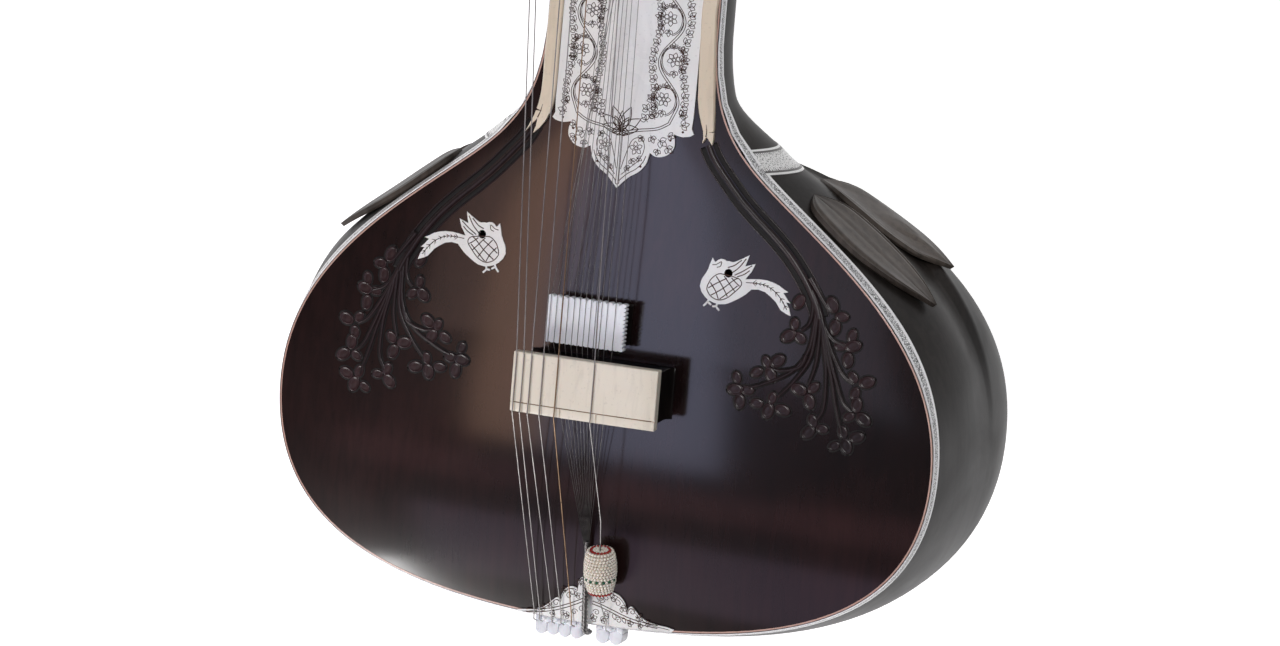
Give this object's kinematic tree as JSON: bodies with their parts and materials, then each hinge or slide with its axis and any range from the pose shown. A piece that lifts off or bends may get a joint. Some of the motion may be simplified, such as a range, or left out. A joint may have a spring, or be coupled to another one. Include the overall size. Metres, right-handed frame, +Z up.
{
  "type": "sitar",
  "caption": "Sitar with a round gourd body, domed dark soundboard, inlaid white birds, flat bridges, long hollow neck, movable arched frets, sympathetic strings and turned pegs.",
  "frame": {"origin": "the middle of the flat on which the gourd rests on the floor, with the instrument lying on its back", "axes": "+Y from the gourd towards the head along the floor, +Z up, +X to the right seen from the gourd end looking down on the face; the pegs are on the -X side"},
  "size_m": [0.362, 1.224, 0.2795],
  "materials": {
    "gourd_wood": "dark stained and polished to a high gloss",
    "face_wood": "near-black dark brown, very glossy",
    "carved_wood": "dark stained, carved or turned, glossy",
    "bone": "cream bone, polished",
    "engraved_plate": "white celluloid, engraved in brown, satin",
    "steel_wire": "drawn wire",
    "bronze_wire": "drawn bronze wire",
    "fret_metal": "polished nickel brass",
    "bead": "rows of small ivory-coloured beads"
  },
  "bodies": {
    "body": {"gourd": "gourd_wood", "heel": "gourd_wood", "soundboard": "face_wood", "neck": "gourd_wood", "neck_plate": "face_wood", "leaf_collar": "carved_wood", "inlay_plate": "engraved_plate", "tail_plate": "engraved_plate", "tail_hanger": "bone", "main_bridge_base": "carved_wood", "main_bridge_top": "bone", "taraf_bridge_base": "carved_wood", "taraf_bridge_top": "bone", "nut": "bone", "string_guide": "bone", "sympathetic_strings": "steel_wire", "playing_string_1": "steel_wire", "playing_string_2": "bronze_wire", "playing_string_3": "steel_wire", "playing_string_4": "steel_wire", "playing_string_5": "steel_wire", "playing_string_6": "steel_wire"},
    "bead": {"tuning_bead": "bead"},
    "main_peg_1_body": {"main_peg_1": "carved_wood"},
    "main_peg_2_body": {"main_peg_2": "carved_wood"},
    "main_peg_3_body": {"main_peg_3": "carved_wood"},
    "main_peg_4_body": {"main_peg_4": "carved_wood"},
    "main_peg_5_body": {"main_peg_5": "carved_wood"},
    "main_peg_6_body": {"main_peg_6": "carved_wood"},
    "fret_1_body": {"fret_1": "fret_metal"},
    "fret_2_body": {"fret_2": "fret_metal"},
    "fret_3_body": {"fret_3": "fret_metal"},
    "fret_4_body": {"fret_4": "fret_metal"},
    "fret_5_body": {"fret_5": "fret_metal"},
    "fret_6_body": {"fret_6": "fret_metal"},
    "fret_7_body": {"fret_7": "fret_metal"},
    "fret_8_body": {"fret_8": "fret_metal"},
    "fret_9_body": {"fret_9": "fret_metal"},
    "fret_10_body": {"fret_10": "fret_metal"},
    "fret_11_body": {"fret_11": "fret_metal"},
    "fret_12_body": {"fret_12": "fret_metal"},
    "fret_13_body": {"fret_13": "fret_metal"},
    "fret_14_body": {"fret_14": "fret_metal"},
    "fret_15_body": {"fret_15": "fret_metal"},
    "fret_16_body": {"fret_16": "fret_metal"},
    "fret_17_body": {"fret_17": "fret_metal"},
    "fret_18_body": {"fret_18": "fret_metal"},
    "fret_19_body": {"fret_19": "fret_metal"},
    "taraf_peg_1_body": {"taraf_peg_1": "carved_wood"},
    "taraf_peg_2_body": {"taraf_peg_2": "carved_wood"},
    "taraf_peg_3_body": {"taraf_peg_3": "carved_wood"},
    "taraf_peg_4_body": {"taraf_peg_4": "carved_wood"},
    "taraf_peg_5_body": {"taraf_peg_5": "carved_wood"},
    "taraf_peg_6_body": {"taraf_peg_6": "carved_wood"},
    "taraf_peg_7_body": {"taraf_peg_7": "carved_wood"},
    "taraf_peg_8_body": {"taraf_peg_8": "carved_wood"},
    "taraf_peg_9_body": {"taraf_peg_9": "carved_wood"},
    "taraf_peg_10_body": {"taraf_peg_10": "carved_wood"},
    "taraf_peg_11_body": {"taraf_peg_11": "carved_wood"},
    "taraf_peg_12_body": {"taraf_peg_12": "carved_wood"}
  },
  "joints": [
    {"name": "bead_slide", "type": "slide", "parent": "body", "child": "bead", "axis": [0, 0.9992, 0.0412], "range_m": [-0.005, 0.015]},
    {"name": "main_peg_1_turn", "type": "hinge", "parent": "body", "child": "main_peg_1_body", "pos_m": [-0.002, 0.98676, 0.08375], "axis": [0, 0.1745, 0.9847], "continuous": true},
    {"name": "main_peg_2_turn", "type": "hinge", "parent": "body", "child": "main_peg_2_body", "pos_m": [-0.016, 1.06161, 0.07054], "axis": [0, 0.1745, 0.9847], "continuous": true},
    {"name": "main_peg_3_turn", "type": "hinge", "parent": "body", "child": "main_peg_3_body", "pos_m": [-0.0556, 1.01829, 0.04384], "axis": [1, 0, 0], "continuous": true},
    {"name": "main_peg_4_turn", "type": "hinge", "parent": "body", "child": "main_peg_4_body", "pos_m": [-0.05528, 1.09312, 0.03059], "axis": [1, 0, 0], "continuous": true},
    {"name": "main_peg_5_turn", "type": "hinge", "parent": "body", "child": "main_peg_5_body", "pos_m": [-0.05735, 0.60812, 0.11651], "axis": [1, 0, 0], "continuous": true},
    {"name": "main_peg_6_turn", "type": "hinge", "parent": "body", "child": "main_peg_6_body", "pos_m": [-0.05812, 0.42524, 0.14892], "axis": [1, 0, 0], "continuous": true},
    {"name": "fret_1_slide", "type": "slide", "parent": "body", "child": "fret_1_body", "axis": [0, 0.9847, -0.1745], "range_m": [-0.0055, 0.0055]},
    {"name": "fret_2_slide", "type": "slide", "parent": "body", "child": "fret_2_body", "axis": [0, 0.9847, -0.1745], "range_m": [-0.0055, 0.0055]},
    {"name": "fret_3_slide", "type": "slide", "parent": "body", "child": "fret_3_body", "axis": [0, 0.9847, -0.1745], "range_m": [-0.0055, 0.0055]},
    {"name": "fret_4_slide", "type": "slide", "parent": "body", "child": "fret_4_body", "axis": [0, 0.9847, -0.1745], "range_m": [-0.0055, 0.0055]},
    {"name": "fret_5_slide", "type": "slide", "parent": "body", "child": "fret_5_body", "axis": [0, 0.9847, -0.1745], "range_m": [-0.0055, 0.0055]},
    {"name": "fret_6_slide", "type": "slide", "parent": "body", "child": "fret_6_body", "axis": [0, 0.9847, -0.1745], "range_m": [-0.0055, 0.0055]},
    {"name": "fret_7_slide", "type": "slide", "parent": "body", "child": "fret_7_body", "axis": [0, 0.9847, -0.1745], "range_m": [-0.0055, 0.0055]},
    {"name": "fret_8_slide", "type": "slide", "parent": "body", "child": "fret_8_body", "axis": [0, 0.9847, -0.1745], "range_m": [-0.0055, 0.0055]},
    {"name": "fret_9_slide", "type": "slide", "parent": "body", "child": "fret_9_body", "axis": [0, 0.9847, -0.1745], "range_m": [-0.0055, 0.0055]},
    {"name": "fret_10_slide", "type": "slide", "parent": "body", "child": "fret_10_body", "axis": [0, 0.9847, -0.1745], "range_m": [-0.0055, 0.0055]},
    {"name": "fret_11_slide", "type": "slide", "parent": "body", "child": "fret_11_body", "axis": [0, 0.9847, -0.1745], "range_m": [-0.0055, 0.0055]},
    {"name": "fret_12_slide", "type": "slide", "parent": "body", "child": "fret_12_body", "axis": [0, 0.9847, -0.1745], "range_m": [-0.0055, 0.0055]},
    {"name": "fret_13_slide", "type": "slide", "parent": "body", "child": "fret_13_body", "axis": [0, 0.9847, -0.1745], "range_m": [-0.0055, 0.0055]},
    {"name": "fret_14_slide", "type": "slide", "parent": "body", "child": "fret_14_body", "axis": [0, 0.9847, -0.1745], "range_m": [-0.0055, 0.0055]},
    {"name": "fret_15_slide", "type": "slide", "parent": "body", "child": "fret_15_body", "axis": [0, 0.9847, -0.1745], "range_m": [-0.0055, 0.0055]},
    {"name": "fret_16_slide", "type": "slide", "parent": "body", "child": "fret_16_body", "axis": [0, 0.9847, -0.1745], "range_m": [-0.0055, 0.0055]},
    {"name": "fret_17_slide", "type": "slide", "parent": "body", "child": "fret_17_body", "axis": [0, 0.9847, -0.1745], "range_m": [-0.0055, 0.0055]},
    {"name": "fret_18_slide", "type": "slide", "parent": "body", "child": "fret_18_body", "axis": [0, 0.9847, -0.1745], "range_m": [-0.0055, 0.0055]},
    {"name": "fret_19_slide", "type": "slide", "parent": "body", "child": "fret_19_body", "axis": [0, 0.9847, -0.1745], "range_m": [-0.0055, 0.0055]},
    {"name": "taraf_peg_1_turn", "type": "hinge", "parent": "body", "child": "taraf_peg_1_body", "pos_m": [-0.04964, 0.30318, 0.17054], "axis": [1, 0, 0], "continuous": true},
    {"name": "taraf_peg_2_turn", "type": "hinge", "parent": "body", "child": "taraf_peg_2_body", "pos_m": [-0.04951, 0.33318, 0.16523], "axis": [1, 0, 0], "continuous": true},
    {"name": "taraf_peg_3_turn", "type": "hinge", "parent": "body", "child": "taraf_peg_3_body", "pos_m": [-0.04898, 0.45796, 0.14312], "axis": [1, 0, 0], "continuous": true},
    {"name": "taraf_peg_4_turn", "type": "hinge", "parent": "body", "child": "taraf_peg_4_body", "pos_m": [-0.04888, 0.48172, 0.13891], "axis": [1, 0, 0], "continuous": true},
    {"name": "taraf_peg_5_turn", "type": "hinge", "parent": "body", "child": "taraf_peg_5_body", "pos_m": [-0.04878, 0.50691, 0.13445], "axis": [1, 0, 0], "continuous": true},
    {"name": "taraf_peg_6_turn", "type": "hinge", "parent": "body", "child": "taraf_peg_6_body", "pos_m": [-0.04866, 0.53358, 0.12972], "axis": [1, 0, 0], "continuous": true},
    {"name": "taraf_peg_7_turn", "type": "hinge", "parent": "body", "child": "taraf_peg_7_body", "pos_m": [-0.04854, 0.56185, 0.12471], "axis": [1, 0, 0], "continuous": true},
    {"name": "taraf_peg_8_turn", "type": "hinge", "parent": "body", "child": "taraf_peg_8_body", "pos_m": [-0.04814, 0.65714, 0.10783], "axis": [1, 0, 0], "continuous": true},
    {"name": "taraf_peg_9_turn", "type": "hinge", "parent": "body", "child": "taraf_peg_9_body", "pos_m": [-0.04799, 0.69275, 0.10152], "axis": [1, 0, 0], "continuous": true},
    {"name": "taraf_peg_10_turn", "type": "hinge", "parent": "body", "child": "taraf_peg_10_body", "pos_m": [-0.04783, 0.73048, 0.09484], "axis": [1, 0, 0], "continuous": true},
    {"name": "taraf_peg_11_turn", "type": "hinge", "parent": "body", "child": "taraf_peg_11_body", "pos_m": [-0.04766, 0.77045, 0.08775], "axis": [1, 0, 0], "continuous": true},
    {"name": "taraf_peg_12_turn", "type": "hinge", "parent": "body", "child": "taraf_peg_12_body", "pos_m": [-0.04748, 0.8128, 0.08025], "axis": [1, 0, 0], "continuous": true}
  ]
}
